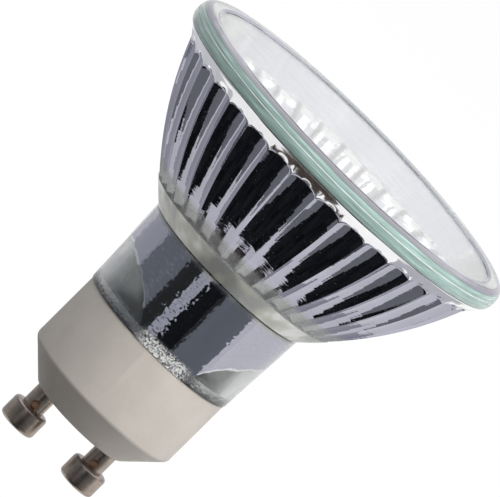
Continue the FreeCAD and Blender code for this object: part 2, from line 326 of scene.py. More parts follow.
class BowlArc:
    """The plain outer arc of the bowl, from the neck's top to the mouth."""

    def __init__(self, sizes):
        self.radius = sizes.bowl_arc
        self.start = Vector((sizes.neck_top, sizes.base_top + sizes.neck_height))
        self.end = Vector((sizes.rim_radius - sizes.rim_overhang, sizes.rim_top - sizes.rim_thickness))
        chord = self.end - self.start
        rise = math.sqrt(self.radius ** 2 - (chord.length / 2) ** 2)
        inward = Vector((-chord.y, chord.x)).normalized()
        self.centre = self.start + chord / 2 + inward * rise

    def point(self, angle, offset=0.0):
        """Radius and height of the point at an angle, offset outwards."""
        reach = self.radius + offset
        return self.centre.x + reach * math.cos(angle), self.centre.y + reach * math.sin(angle)

    def angle_at(self, z, offset=0.0):
        """The angle at which the offset arc passes a height."""
        return math.asin((z - self.centre.y) / (self.radius + offset))


class FluteRows:
    """The hollow of one flute, or the petal behind it, as a depth below the plain arc."""

    def __init__(self, sizes, bowl, wall, foot, head):
        self.sizes = sizes
        self.bowl = bowl
        self.wall = wall
        self.radius = sizes.flute_radius + wall
        self.end_round = sizes.flute_end + wall
        self.low = bowl.angle_at(bowl.start.y + foot, -wall)
        self.high = bowl.angle_at(bowl.end.y - head, -wall)

    def stand_off(self, angle):
        """How far outside the plain arc the flute's centre line runs."""
        half_pitch = math.pi * self.bowl.point(angle, -self.sizes.flute_step)[0] / self.sizes.flutes
        return math.sqrt(self.sizes.flute_radius ** 2 - half_pitch ** 2) - self.sizes.flute_step

    def aside(self, angle, turn):
        """Distance from the flute's middle plane."""
        return self.bowl.point(angle, -self.wall - self.sizes.flute_step)[0] * math.sin(turn)

    def depth(self, angle, turn):
        """Depth of the wall below the plain outer arc."""
        from_end = (self.high - angle) * self.bowl.radius
        short = self.end_round - min(max(from_end, 0.0), self.end_round)
        reach = self.radius - self.end_round + math.sqrt(self.end_round ** 2 - short ** 2)
        left = reach ** 2 - self.aside(angle, turn) ** 2
        return max(math.sqrt(max(left, 0.0)) - self.stand_off(angle), self.wall)

    def head(self, turn):
        """The angle at which the flute's rounded head runs out on the plain wall."""
        reach = math.hypot(self.aside(self.high, turn), self.stand_off(self.high) + self.wall)
        inside = min(max(reach - self.radius + self.end_round, 0.0), self.end_round)
        return self.high - (self.end_round - math.sqrt(self.end_round ** 2 - inside ** 2)) / self.bowl.radius

    def row(self, share):
        """A row of points across the flute, at a share of the way from foot to head."""
        def place(turn):
            angle = self.low + (self.head(turn) - self.low) * share
            return self.bowl.point(angle, -self.depth(angle, turn))
        return place

    def plain_row(self, angle):
        """A row on the plain wall at one angle."""
        return lambda turn: self.bowl.point(angle, -self.wall)

    def head_row(self, angle, share):
        """A row on the plain wall between the flute's head and a fixed angle."""
        def place(turn):
            start = self.head(turn)
            return self.bowl.point(start + (angle - start) * share, -self.wall)
        return place

    def band_row(self, end, share):
        """A row on the cone between the flute's head and a point of the rim."""
        return lambda turn: Vector(self.bowl.point(self.head(turn), -self.wall)).lerp(Vector(end), share)


def fixed(r, z):
    """A row of points all round at one radius and height."""
    return lambda turn: (r, z)


def even(count):
    """Evenly spaced shares from 0 up to but not including 1."""
    return [index / count for index in range(count)]


def arc_points(centre, radius, start, turn, count=10):
    """Points of an arc from a start angle through a turn, both in radians."""
    angles = [start + turn * index / count for index in range(count + 1)]
    return [(centre[0] + radius * math.cos(a), centre[1] + radius * math.sin(a)) for a in angles]


def corner_round(before, corner, after, radius, count=6):
    """Points of the round that joins two straight runs at a corner."""
    first = (Vector(before) - Vector(corner)).normalized()
    second = (Vector(after) - Vector(corner)).normalized()
    half = first.angle(second) / 2
    centre = Vector(corner) + (first + second).normalized() * radius / math.sin(half)
    start = Vector(corner) + first * radius / math.tan(half) - centre
    end = Vector(corner) + second * radius / math.tan(half) - centre
    turn = start.angle_signed(end)
    return arc_points(centre, radius, math.atan2(start.y, start.x), -turn, count)


def rim_points(sizes, bowl):
    """The round from the flare under the rim to the rim's side, and the rim's top edge."""
    corner = (sizes.rim_radius, bowl.end.y + sizes.rim_overhang * math.tan(sizes.rim_flare))
    top = (sizes.rim_radius, sizes.rim_top)
    return corner_round(bowl.end, corner, top, sizes.rim_round, RIM_STEPS) + [top]


def reflector_section(sizes):
    """The rows of the reflector's closed section, each with its finish and whether its edge is smooth."""
    bowl = BowlArc(sizes)
    wall = sizes.bowl_wall
    outer = FluteRows(sizes, bowl, 0.0, sizes.flute_foot, sizes.flute_head)
    inner = FluteRows(sizes, bowl, wall, sizes.petal_foot, sizes.petal_head)
    bore = sizes.spigot_radius - sizes.neck_wall
    floor_z = sizes.base_top + sizes.neck_floor
    slope = (sizes.neck_top - sizes.neck_foot) / sizes.neck_height
    inner_foot = sizes.neck_foot + slope * sizes.neck_floor - sizes.neck_wall
    start = bowl.angle_at(bowl.start.y)
    inner_start = bowl.angle_at(bowl.start.y, -wall)
    inner_end = bowl.angle_at(sizes.rim_top, -wall)
    rows = []

    def add(places, finish, edge=SMOOTH):
        rows.extend((place, finish, edge) for place in places)

    def add_points(points, finish):
        add([fixed(*point) for point in points], finish)

    add_points([(sizes.spigot_radius, sizes.spigot_low), (sizes.spigot_radius, sizes.base_top)], BOND)
    foot = Vector((sizes.neck_foot, sizes.base_top))
    add_points([tuple(foot.lerp(bowl.start, share)) for share in even(NECK_ROWS)], CLEAR)
    collar = bowl.point(start + (outer.low - start) * COLLAR_FOOT)
    fillet = corner_round(foot, bowl.start, collar, sizes.neck_fillet)
    add_points(fillet[:-1], CLEAR)
    add_points(fillet[-1:], FILM)
    add([outer.plain_row(start + (outer.low - start) * share) for share in COLLAR_ROWS], FILM)
    add([outer.plain_row(outer.low)], FILM, FACET)
    rounded = outer.end_round / ((outer.high - outer.low) * bowl.radius)
    add([outer.row((1 - rounded) * share) for share in even(sizes.steps)], FILM, FACET)
    add([outer.row(1 - rounded * (1 - share)) for share in even(ROUND_ROWS)], FILM)
    rim = rim_points(sizes, bowl)
    add([outer.row(1.0)], BAND, FACET)
    add([outer.band_row(rim[0], share) for share in even(BAND_ROWS)[1:]], BAND)
    add_points(rim[:FILMED_RIM_STEPS], BAND)
    add_points(rim[FILMED_RIM_STEPS:], CLEAR)
    add([inner.plain_row(inner_end)], PETAL)
    add([inner.head_row(inner_end, 1 - share) for share in even(WALL_ROWS)[1:]], PETAL)
    rounded = inner.end_round / ((inner.high - inner.low) * bowl.radius)
    add([inner.row(1.0)], PETAL, FACET)
    add([inner.row(1 - rounded * share) for share in even(ROUND_ROWS)[1:]], PETAL)
    add([inner.row((1 - rounded) * (1 - share)) for share in even(sizes.facets)], PETAL, FACET)
    add([inner.row(0.0)], PETAL, FACET)
    add([inner.plain_row(inner.low + (inner_start - inner.low) * share) for share in even(WALL_ROWS)], PETAL)
    top = Vector(bowl.point(inner_start, -wall))
    add_points([tuple(top.lerp(Vector((inner_foot, floor_z)), share)) for share in even(NECK_ROWS)], FILM)
    add_points([(inner_foot, floor_z), (bore, floor_z), (bore, sizes.spigot_low)], BOND)
    rows.append(rows[0])
    return rows


def finish_mesh(mesh_data, name, finishes):
    """Close, orient and shade a mesh, and put it in the scene as one piece of the lamp."""
    bmesh.ops.remove_doubles(mesh_data, verts=mesh_data.verts, dist=MERGE_REACH)
    bmesh.ops.dissolve_degenerate(mesh_data, edges=mesh_data.edges, dist=SLIVER_REACH)
    bmesh.ops.recalc_face_normals(mesh_data, faces=mesh_data.faces)
    for face in mesh_data.faces:
        face.smooth = True
    for edge in mesh_data.edges:
        edge.smooth = edge.smooth and edge.calc_face_angle(0.0) < SHARP_ANGLE
    mesh = bpy.data.meshes.new(name)
    mesh_data.to_mesh(mesh)
    mesh_data.free()
    piece = bpy.data.objects.new(name, mesh)
    bpy.context.scene.collection.objects.link(piece)
    for finish in finishes:
        mesh.materials.append(finish)
    return piece


def fluted_shell(sizes, across=12):
    """One sector of the reflector on a grid, repeated round the axis."""
    rows = reflector_section(sizes)
    shell = bmesh.new()
    bmesh.ops.create_grid(shell, x_segments=across, y_segments=len(rows) - 1, size=1.0)
    half_sector = math.pi / sizes.flutes

    def row_of(vert):
        return round((vert.co.y + 1) / 2 * (len(rows) - 1))

    for face in shell.faces:
        face.material_index = rows[min(row_of(vert) for vert in face.verts)][1]
    for edge in shell.edges:
        first, second = [row_of(vert) for vert in edge.verts]
        edge.smooth = rows[first][2] if first == second else SMOOTH
    places = {}
    for vert in shell.verts:
        turn = vert.co.x * half_sector
        radius, height = rows[row_of(vert)][0](turn)
        angle = turn + sizes.flute_turn
        places[vert] = Vector((radius * math.cos(angle), radius * math.sin(angle), height))
    for vert, place in places.items():
        vert.co = place
    sector = shell.verts[:] + shell.edges[:] + shell.faces[:]
    copies = sizes.flutes - 1
    bmesh.ops.spin(shell, geom=sector, cent=(0, 0, 0), axis=(0, 0, 1), dvec=(0, 0, 0),
                   angle=2 * math.pi * copies / sizes.flutes, steps=copies, use_duplicate=True)
    return shell


def turned(outline, steps=180):
    """A turned form from an outline of radius and height, from the axis back to the axis."""
    form = bmesh.new()
    verts = [form.verts.new((radius, 0, height)) for radius, height in outline]
    edges = [form.edges.new(pair) for pair in zip(verts, verts[1:])]
    bmesh.ops.spin(form, geom=verts + edges, cent=(0, 0, 0), axis=(0, 0, 1), dvec=(0, 0, 0),
                   angle=2 * math.pi, steps=steps, use_merge=True)
    return form


def merged_copy(node):
    """A copy of a solid's loose triangles, whose seams finish_mesh closes."""
    copy = bmesh.new()
    copy.from_mesh(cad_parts[node].data)
    return copy


def stand_for(piece, node):
    """Let a piece ride on the lamp in the place of a solid."""
    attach(piece, "root")
    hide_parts(node)
    return piece


def dress(node, finish):
    """Give a solid that stays as it is its finish."""
    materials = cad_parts[node].data.materials
    materials.clear()
    materials.append(finish)


def milky_edge(finish, colours, sizes, where, z):
    """Glass as it looks edge on, in green lines, with a painted shade line along the foot of the rim's side.
    """
    lines = finish.noise(finish.stretched(where, (0.03, 0.03, 1.0)), 5200.0, 3.0, 0.6)
    shade = finish.mix(finish.ramp(lines, 0.34, 0.50), shaded(colours.edge, 0.68), colours.edge)
    shade = finish.mix(finish.ramp(lines, 0.54, 0.66), shade, shaded(colours.edge, 1.5))
    shade_line_low = sizes.rim_top - 1.3 * MM
    # painted shade: a near-black line along the foot of the rim's side, where the rim stands out over the
    # bowl
    shade = finish.mix(finish.fade(z, shade_line_low, shade_line_low + 0.15 * MM), shade, (0.05, 0.06, 0.06))
    return finish.principled(Base_Color=shade, Roughness=0.12 + lines * 0.2,
                             Normal=finish.bump(lines, 0.1, 0.05 * MM))


def lip_share(finish, sizes, radius, z):
    """Share of frost on the slope and on the round of the front glass's lip."""
    plate_top = sizes.cover_low + sizes.cover_plate
    lip_inside = sizes.cover_radius - sizes.cover_lip
    round_inside = sizes.cover_radius - sizes.cover_round
    over_plate = finish.ramp(z, plate_top + 0.05 * MM, plate_top + 0.08 * MM)
    on_slope = over_plate * finish.fade(radius, lip_inside - 0.03 * MM, lip_inside + 0.05 * MM)
    near_top = finish.ramp(z, sizes.cover_top - 0.5 * MM, sizes.cover_top - 0.35 * MM)
    on_round = near_top * finish.ramp(radius, round_inside - 0.05 * MM, round_inside + 0.15 * MM)
    return on_slope * 0.6 + on_round * 0.55


def sparkle_share(finish, x, end):
    """1 at the middle of the neck's foot, where bright flecks paint a sparkle, and 0 past an end to each
    side.
    """
    return finish.fade(abs(x - SPARKLE_SIDE), SPARKLE_REACH, end)


def sparkle_fleck_share(finish, sizes, where, x, z):
    """Share of bright flecks on the glass at the middle of the neck's foot, which paint a sparkle there."""
    flecks = finish.ramp(finish.noise(where, 4200.0, 2.0, 0.6), 0.40, 0.56) * 0.85
    at_foot = finish.fade(z, sizes.base_top + 1.2 * MM, sizes.base_top + 2.0 * MM)
    return at_foot * sparkle_share(finish, x, 4.5 * MM) * flecks


def glass_shader(finish, colours, sizes):
    """Clear pressed glass in slow waves: green at the rim with a painted shade line at its foot, frosted on
    the lip, and with bright flecks at the middle of the neck's foot that paint a sparkle.
    """
    where = finish.place()
    x, y, z = finish.split(where)
    radius = from_axis(x, y)
    waves = finish.noise(where, 160.0, 2.0)
    tint = finish.mix(waves, colours.glass, (0.985, 0.99, 0.985))
    clear = finish.principled(Base_Color=tint, Roughness=finish.ramp(waves, 0.3, 1.0) * 0.02, IOR=GLASS_IOR,
                              Transmission_Weight=1.0, Normal=finish.bump(waves, 0.05, 0.2 * MM))
    under_lip = finish.fade(z, sizes.cover_top - 0.55 * MM, sizes.cover_top - 0.35 * MM)
    thick = finish.ramp(radius, sizes.rim_radius - 0.7 * MM, sizes.rim_radius - 0.4 * MM) * under_lip * 0.85
    edged = finish.blend(thick, clear, milky_edge(finish, colours, sizes, where, z))
    frost = finish.principled(Base_Color=finish.mix(waves, (0.36, 0.36, 0.41), (0.46, 0.46, 0.50)),
                              Roughness=0.3)
    lipped = finish.blend(lip_share(finish, sizes, radius, z), edged, frost)
    sparkle_fleck = finish.principled(Base_Color=finish.mix(waves, (0.93, 0.93, 0.91), (0.98, 0.98, 0.97)),
                              Roughness=0.25)
    # painted sparkle: white flecks blended in at the middle of the neck's foot
    return finish.blend(sparkle_fleck_share(finish, sizes, where, x, z), lipped, sparkle_fleck)


def clear_glass_finish(colours, sizes):
    """The clear glass by itself, made once for the reflector and the front glass."""
    known = bpy.data.materials.get("clear_glass")
    if known:
        return known
    finish = Finish("clear_glass")
    return finish.done(glass_shader(finish, colours, sizes))


def window_edge(finish, sizes, where, x, y, z):
    """Height over the upper edge of the two bare windows at the neck's foot, below 0 inside them."""
    across = x * math.cos(sizes.window_turn) + y * math.sin(sizes.window_turn)
    aside = abs(across) / from_axis(x, y)
    reach = ((aside - WINDOW_START) / WINDOW_SPAN).calc("MAXIMUM", 0.0)
    wander = finish.noise(where, 500.0, 3.0) * (1.2 * MM)
    return z - reach ** 0.5 * sizes.window_rise - sizes.window_foot - wander


def collar_painted_glints(finish, colours, where):
    """Painted reflection in the plain collar: soft grey blocks, and white blocks that are painted glints."""
    glint_blocks = finish.noise(finish.stretched(where, (1.0, 1.0, 0.3)), 330.0, 1.5, 0.5)
    shade = finish.mix(finish.ramp(glint_blocks, 0.34, 0.52), (0.46, 0.47, 0.45), colours.collar)
    return finish.mix(finish.ramp(glint_blocks, 0.50, 0.66), shade, (0.92, 0.92, 0.89))


def film_relief(finish, where, x, on_neck):
    """Ripples in the neck's film, deepest in a strip near its middle, and strokes in the bowl's."""
    ripple = finish.noise(finish.stretched(where, (1.0, 1.0, 1.6)), 1700.0, 0.6, 0.5)
    strokes = finish.noise(finish.stretched(where, (0.25, 0.25, 3.0)), 1300.0, 2.0, 0.6)
    strip = finish.fade(abs(x + 1.3 * MM), 0.5 * MM, 1.1 * MM)
    return ripple * on_neck * (0.8 + strip * 0.9) + strokes * (1 - on_neck) * 0.35


def film_finish(colours, sizes):
    """Mirror film behind the neck's glass and on the bowl, left off in two windows at the neck's foot."""
    finish = Finish("mirror_film")
    where = finish.place()
    x, y, z = finish.split(where)
    neck_top = sizes.base_top + sizes.neck_height
    flute_low = neck_top + sizes.flute_foot
    behind = finish.fade(from_axis(x, y), sizes.neck_foot - 0.6 * MM, sizes.neck_foot - 0.4 * MM)
    on_neck = finish.fade(z, neck_top - 1.0 * MM, neck_top) * behind
    below_flutes = finish.fade(z, flute_low - 0.1 * MM, flute_low + 0.1 * MM)
    on_collar = finish.ramp(z, neck_top, neck_top + 0.3 * MM) * below_flutes
    dulled = finish.fade(z, flute_low + 1.4 * MM, flute_low + 2.6 * MM) * (1 - on_neck)
    over_window = window_edge(finish, sizes, where, x, y, z)
    cloud = finish.noise(where, 220.0, 3.0)
    dust = finish.noise(where, 3000.0, 2.0, 0.7)
    shade = finish.mix(finish.ramp(cloud, 0.3, 0.75), colours.film, shaded(colours.film, 0.9))
    shade = finish.mix(dulled, shade, colours.dull)
    # painted reflection: grey blocks and white glint blocks in the collar under the flutes
    shade = finish.mix(below_flutes, shade, collar_painted_glints(finish, colours, where))
    shade = finish.mix(on_neck, shade, shaded(colours.film, 0.94))
    film_edge = finish.fade(over_window, 0.15 * MM, 0.4 * MM)
    shade = finish.mix(film_edge * 0.6, shade, (0.80, 0.80, 0.78))
    rough = 0.03 + finish.ramp(dust, 0.56, 0.74) * 0.25 * (1 - on_neck * 0.8)
    rough = rough + on_collar * 0.12 + dulled * 0.16
    relief = film_relief(finish, where, x, on_neck) + cloud * 0.06
    metal = finish.principled(Base_Color=shade, Roughness=rough,
                              Metallic=1 - on_collar * 0.8 - dulled * (1 - on_collar) * 0.6,
                              Normal=finish.bump(relief, 0.22, 0.1 * MM))
    haze = finish.noise(where, 700.0, 4.0, 0.65)
    tint = finish.mix(haze, colours.window, shaded(colours.window, 1.5))
    bare = finish.principled(Base_Color=tint, Roughness=0.08 + cloud * 0.3, IOR=GLASS_IOR,
                             Transmission_Weight=0.7)
    coated = finish.ramp(over_window, -0.1 * MM, 0.1 * MM)
    return finish.done(finish.blend(coated, bare, metal))


def petal_finish(sizes):
    """Bare bright film inside the bowl, with painted shade in the seams between the petals."""
    finish = Finish("petal_film")
    where = finish.place()
    x, y, z = finish.split(where)
    cloud = finish.noise(where, 900.0, 3.0)
    pitch = 2 * math.pi / sizes.flutes
    turns = (y.calc("ARCTAN2", x) - sizes.flute_turn) / pitch
    seam_shade = abs((turns + 0.5).calc("FLOORED_MODULO", 1.0) - 0.5)
    heads = sizes.rim_top - sizes.rim_thickness - sizes.petal_head
    under_heads = finish.fade(z, heads - 0.9 * MM, heads - 0.5 * MM)
    shade = finish.mix(cloud, (0.95, 0.95, 0.95), (0.86, 0.86, 0.88))
    # painted shade: near-black in the seams between the petals, below their heads
    shade = finish.mix(finish.ramp(seam_shade, 0.34, 0.48) * under_heads, shade, (0.06, 0.06, 0.07))
    return finish.coat(Base_Color=shade, Metallic=1.0, Roughness=0.05 + cloud * 0.06,
                       Normal=finish.bump(cloud, 0.03, 0.1 * MM))


def band_finish():
    """Bare bright film on the plain band over the flutes' heads."""
    finish = Finish("bright_band")
    cloud = finish.noise(finish.place(), 900.0, 3.0)
    shade = finish.mix(cloud, (0.92, 0.92, 0.92), (0.80, 0.80, 0.82))
    return finish.coat(Base_Color=shade, Metallic=1.0, Roughness=0.05 + cloud * 0.08,
                       Normal=finish.bump(cloud, 0.03, 0.1 * MM))


def bond_finish():
    """Grey film on the step and the spigot at the neck's foot, with pale flecked cement at its middle, which
    also paints a sparkle there.
    """
    finish = Finish("bonded_foot")
    where = finish.place()
    x = finish.split(where)[0]
    flecks = finish.noise(where, 1700.0, 3.0, 0.7)
    middle = sparkle_share(finish, x, 5.0 * MM)
    shade = finish.mix(finish.ramp(flecks, 0.42, 0.6), (0.72, 0.72, 0.70), (0.98, 0.98, 0.96))
    # painted sparkle: the middle of the foot turns pale white and less metallic
    shade = finish.mix(middle, (0.50, 0.51, 0.50), shade)
    relief = flecks * (0.25 + middle)
    return finish.coat(Base_Color=shade, Metallic=1 - middle * 0.8,
                       Roughness=0.12 + flecks * 0.3,
                       Normal=finish.bump(relief, 0.8, 0.4 * MM))


def ceramic_finish(colours):
    """Matt fired ceramic with faint mottling, pits and a few specks."""
    finish = Finish("fired_ceramic")
    where = finish.place()
    mottle = finish.noise(where, 240.0, 4.0)
    grain = finish.noise(where, 3800.0, 3.0, 0.7)
    cells = finish.node("ShaderNodeTexVoronoi", None, {"Vector": where, "Scale": 330.0, "Randomness": 1.0})
    rare = finish.ramp(finish.noise(where, 410.0, 0.0), 0.66, 0.70)
    speck = finish.fade(cells.out("Distance"), 0.05, 0.10) * rare
    tone = finish.mix(finish.ramp(mottle, 0.3, 0.7), colours.ceramic, shaded(colours.ceramic, 0.93))
    tone = finish.mix(finish.ramp(grain, 0.35, 0.8) * 0.25, tone, shaded(colours.ceramic, 0.8))
    tone = finish.mix(speck * 0.6, tone, (0.12, 0.09, 0.07))
    return finish.coat(Base_Color=tone, Roughness=0.55 + mottle * 0.2,
                       Specular_IOR_Level=0.35,
                       Normal=finish.bump(grain + mottle * 0.6, 0.12, 0.1 * MM))


def crimp_share(finish, sizes, x, y, z):
    """1 inside the crimp marks on the fronts of the pins' shanks."""
    front = y * -1
    in_depth = finish.ramp(front, 0.85 * MM, 0.95 * MM) * finish.fade(front, 1.30 * MM, 1.38 * MM)
    along = z - (PIN_LOW.z + sizes.pin_head + sizes.crimp_rise)
    beside = abs(x) - abs(PIN_LOW.x + PIN_HIGH.x) / 2
    return in_depth * finish.fade(along * along + beside * beside, (0.5 * MM) ** 2, (0.68 * MM) ** 2)


def pin_finish(colours, sizes):
    """Dull nickel plate with turning marks and bare metal in the crimp marks."""
    finish = Finish("dull_nickel")
    where = finish.place()
    x, y, z = finish.split(where)
    lines = finish.noise(finish.stretched(where, (0.08, 0.08, 1.0)), 9000.0, 2.0, 0.6)
    stain = finish.noise(where, 700.0, 4.0, 0.6)
    tone = finish.mix(finish.ramp(stain, 0.3, 0.75), colours.pin, shaded(colours.pin, 1.5))
    tone = finish.mix(finish.ramp(lines, 0.45, 0.75) * 0.35, tone, shaded(colours.pin, 2.0))
    tone = finish.mix(crimp_share(finish, sizes, x, y, z), tone, colours.copper)
    rough = 0.2 + stain * 0.16 + lines * 0.08
    return finish.coat(Base_Color=tone, Metallic=1.0, Roughness=rough,
                       Normal=finish.bump(lines + stain * 0.5, 0.12, 0.05 * MM))


def cement_finish(name, tone):
    """Rough set cement or adhesive."""
    finish = Finish(name)
    lumps = finish.noise(finish.place(), 1200.0, 5.0, 0.65)
    shade = finish.mix(finish.ramp(lumps, 0.3, 0.7), tone, shaded(tone, 0.8))
    return finish.coat(Base_Color=shade, Roughness=0.7 + lumps * 0.2,
                       Normal=finish.bump(lumps, 0.4, 0.15 * MM))


def wire_finish(colours):
    """Drawn tungsten and molybdenum wire."""
    finish = Finish("drawn_wire")
    grain = finish.noise(finish.stretched(finish.place(), (1.0, 1.0, 0.1)), 8000.0, 2.0)
    tone = finish.mix(grain, colours.wire, shaded(colours.wire, 1.4))
    return finish.coat(Base_Color=tone, Metallic=1.0, Roughness=0.3 + grain * 0.2,
                       Normal=finish.bump(grain, 0.1, 0.02 * MM))


def quartz_finish():
    """Clear quartz with faint draw lines."""
    finish = Finish("clear_quartz")
    draw = finish.noise(finish.stretched(finish.place(), (1.0, 1.0, 0.15)), 900.0, 2.0)
    tint = finish.mix(draw, (0.97, 0.98, 0.99), (0.99, 0.99, 0.99))
    return finish.coat(Base_Color=tint, Roughness=draw * 0.03, IOR=QUARTZ_IOR,
                       Transmission_Weight=1.0, Normal=finish.bump(draw, 0.08, 0.1 * MM))


class LAMP_OT_reflector(Operator):
    """Press the fluted reflector and lay its mirror film"""
    bl_idname = "lamp.reflector"
    bl_label = "Reflector"

    def execute(self, context):
        sizes, colours = context.scene.lamp_sizes, context.scene.lamp_colours
        finishes = [clear_glass_finish(colours, sizes), film_finish(colours, sizes), band_finish(),
                    bond_finish(), petal_finish(sizes)]
        piece = finish_mesh(fluted_shell(sizes), "reflector", finishes)
        stand_for(piece, "reflector_glass")
        return {"FINISHED"}


class LAMP_OT_front_glass(Operator):
    """Turn the front glass with its rounded lip, and lay the adhesive under it"""
    bl_idname = "lamp.front_glass"
    bl_label = "Front glass"

    def execute(self, context):
        sizes, colours = context.scene.lamp_sizes, context.scene.lamp_colours
        glass = finish_mesh(turned(self.glass_outline(sizes)), "front_glass",
                            [clear_glass_finish(colours, sizes)])
        stand_for(glass, "cover_glass")
        bead = finish_mesh(turned(self.bead_outline(sizes)), "bead",
                           [cement_finish("set_adhesive", colours.adhesive)])
        stand_for(bead, "cover_bead")
        return {"FINISHED"}

    @staticmethod
    def glass_outline(sizes):
        """Half the section of the front glass, from the axis round its lip to the axis."""
        centre = (sizes.cover_radius - sizes.cover_round, sizes.cover_top - sizes.cover_round)
        lip = sizes.cover_radius - sizes.cover_lip
        plate_top = sizes.cover_low + sizes.cover_plate
        outline = [(0.0, sizes.cover_low), (sizes.cover_radius, sizes.cover_low)]
        outline += arc_points(centre, sizes.cover_round, 0.0, math.pi / 2)
        outline += [(lip, sizes.cover_top), (lip - sizes.cover_slope, plate_top), (0.0, plate_top)]
        return outline

    @staticmethod
    def bead_outline(sizes):
        """The closed section of the ring of adhesive, between the rim and the front glass."""
        outer = sizes.rim_radius - sizes.bead_inset
        inner = outer - sizes.bead_width
        low, high = sizes.rim_top + sizes.bead_gap, sizes.cover_low - sizes.bead_gap
        return [(inner, low), (outer, low), (outer, high), (inner, high), (inner, low)]


class LAMP_OT_base(Operator):
    """Fire the ceramic base and set the cements in it"""
    bl_idname = "lamp.base"
    bl_label = "Ceramic base"

    def execute(self, context):
        colours = context.scene.lamp_colours
        piece = finish_mesh(merged_copy("ceramic_base"), "base", [ceramic_finish(colours)])
        stand_for(piece, "ceramic_base")
        cement = cement_finish("set_cement", colours.cement)
        for node in ("neck_cement", "pot_cement"):
            dress(node, cement)
        return {"FINISHED"}


class LAMP_OT_pins(Operator):
    """Plate the two contact pins"""
    bl_idname = "lamp.pins"
    bl_label = "Contact pins"

    def execute(self, context):
        plate = pin_finish(context.scene.lamp_colours, context.scene.lamp_sizes)
        for side in ("left", "right"):
            node = "contact_pin_" + side
            piece = finish_mesh(merged_copy(node), "pin_" + side, [plate])
            stand_for(piece, node)
        return {"FINISHED"}


def coil_path(turns, per_turn, radius):
    """Points of a helix that climbs one leg, goes over the bend and comes down the other leg."""
    leg_x = (LEAD_LOW.x + LEAD_HIGH.x) / 2
    bend_z = COIL_HIGH.z - leg_x - radius
    leg = bend_z - COIL_LOW.z
    arch = math.pi * leg_x
    total = 2 * leg + arch
    points = []
    for index in range(turns * per_turn + 1):
        along = total * index / (turns * per_turn)
        angle = 2 * math.pi * index / per_turn
        if along < leg:
            centre, outward = Vector((-leg_x, 0, COIL_LOW.z + along)), Vector((-1, 0, 0))
        elif along < leg + arch:
            bend = (along - leg) / leg_x
            outward = Vector((-math.cos(bend), 0, math.sin(bend)))
            centre = Vector((0, 0, bend_z)) + outward * leg_x
        else:
            centre, outward = Vector((leg_x, 0, bend_z - (along - leg - arch))), Vector((1, 0, 0))
        around = outward * math.cos(angle) + Vector((0, 1, 0)) * math.sin(angle)
        points.append(centre + around * radius)
    return points


class LAMP_OT_capsule(Operator):
    """Blow the quartz capsule, wind its filament and finish its wires"""
    bl_idname = "lamp.capsule"
    bl_label = "Capsule"

    def execute(self, context):
        sizes, colours = context.scene.lamp_sizes, context.scene.lamp_colours
        piece = finish_mesh(merged_copy("capsule_envelope"), "capsule", [quartz_finish()])
        stand_for(piece, "capsule_envelope")
        drawn = wire_finish(colours)
        filament = finish_mesh(self.wound_coil(sizes), "filament", [drawn])
        stand_for(filament, "filament_coil")
        dress("filament_support", drawn)
        for side in ("left", "right"):
            for node in ("inner_lead_", "outer_lead_", "sealing_foil_"):
                dress(node + side, drawn)
        return {"FINISHED"}

    @staticmethod
    def wound_coil(sizes):
        """The filament as a fine helix of wire."""
        half_wire = sizes.coil_wire / 2
        half_coil = (COIL_HIGH.y - COIL_LOW.y) / 2
        points = coil_path(sizes.coil_turns, sizes.coil_steps, half_coil - half_wire)
        curve = bpy.data.curves.new("filament", "CURVE")
        curve.dimensions = "3D"
        curve.bevel_depth = half_wire
        curve.bevel_resolution = 2
        curve.use_fill_caps = True
        spline = curve.splines.new("POLY")
        spline.points.add(len(points) - 1)
        for point, place in zip(spline.points, points):
            point.co = (*place, 1.0)
        holder = bpy.data.objects.new("filament_curve", curve)
        bpy.context.scene.collection.objects.link(holder)
        graph = bpy.context.evaluated_depsgraph_get()
        mesh = bpy.data.meshes.new_from_object(holder.evaluated_get(graph))
        bpy.data.objects.remove(holder)
        wound = bmesh.new()
        wound.from_mesh(mesh)
        return wound


def stage_piece(name, form, shade, seen, diffuse=True):
    """Put a card or the floor on the stage."""
    mesh = bpy.data.meshes.new(name)
    form.to_mesh(mesh)
    form.free()
    piece = bpy.data.objects.new(name, mesh)
    mesh.materials.append(shade)
    piece.visible_camera = seen
    piece.visible_diffuse = diffuse
    piece.visible_shadow = seen
    bpy.context.scene.collection.objects.link(piece)
    return piece


def level_card(name, corners, z, shade, seen):
    """A level card of the stage, from its corners in millimetres."""
    card = bmesh.new()
    card.faces.new([card.verts.new((x * MM, y * MM, z)) for x, y in corners])
    return stage_piece(name, card, shade, seen)


def rectangle(left, front, right, back):
    """The corners of a level rectangle."""
    return (left, front), (right, front), (right, back), (left, back)


def card_finish(name, tone, scale, low):
    """A card that shows one tone with darker cloud, whatever the light on it."""
    finish = Finish(name)
    cloud = finish.ramp(finish.noise(finish.place(), scale, 3.0), 0.3, 0.7)
    shade = finish.mix(cloud, tone, shaded(tone, low))
    return finish.done(finish.node("ShaderNodeEmission", None, {"Color": shade}).out(0))


def screen_part(name, start, end, outline, shade):
    """A stretch of a screen round the lamp, between two azimuths in degrees, from its reaches and heights."""
    screen = bmesh.new()
    turn = math.radians(start)
    verts = [screen.verts.new((reach * math.sin(turn), -reach * math.cos(turn), z)) for reach, z in outline]
    edges = [screen.edges.new(pair) for pair in zip(verts, verts[1:])]
    bmesh.ops.spin(screen, geom=verts + edges, cent=(0, 0, 0), axis=(0, 0, 1), dvec=(0, 0, 0),
                   angle=math.radians(end - start), steps=max(2, round((end - start) / 4)))
    return stage_piece(name, screen, shade, False, False)


def bright_share(finish):
    """1 for rays that show the white surroundings: camera, mirror and glass rays."""
    path = finish.node("ShaderNodeLightPath")
    rays = path.out("Is Camera Ray") + path.out("Is Glossy Ray") + path.out("Is Transmission Ray")
    return rays.calc("MINIMUM", 1.0)


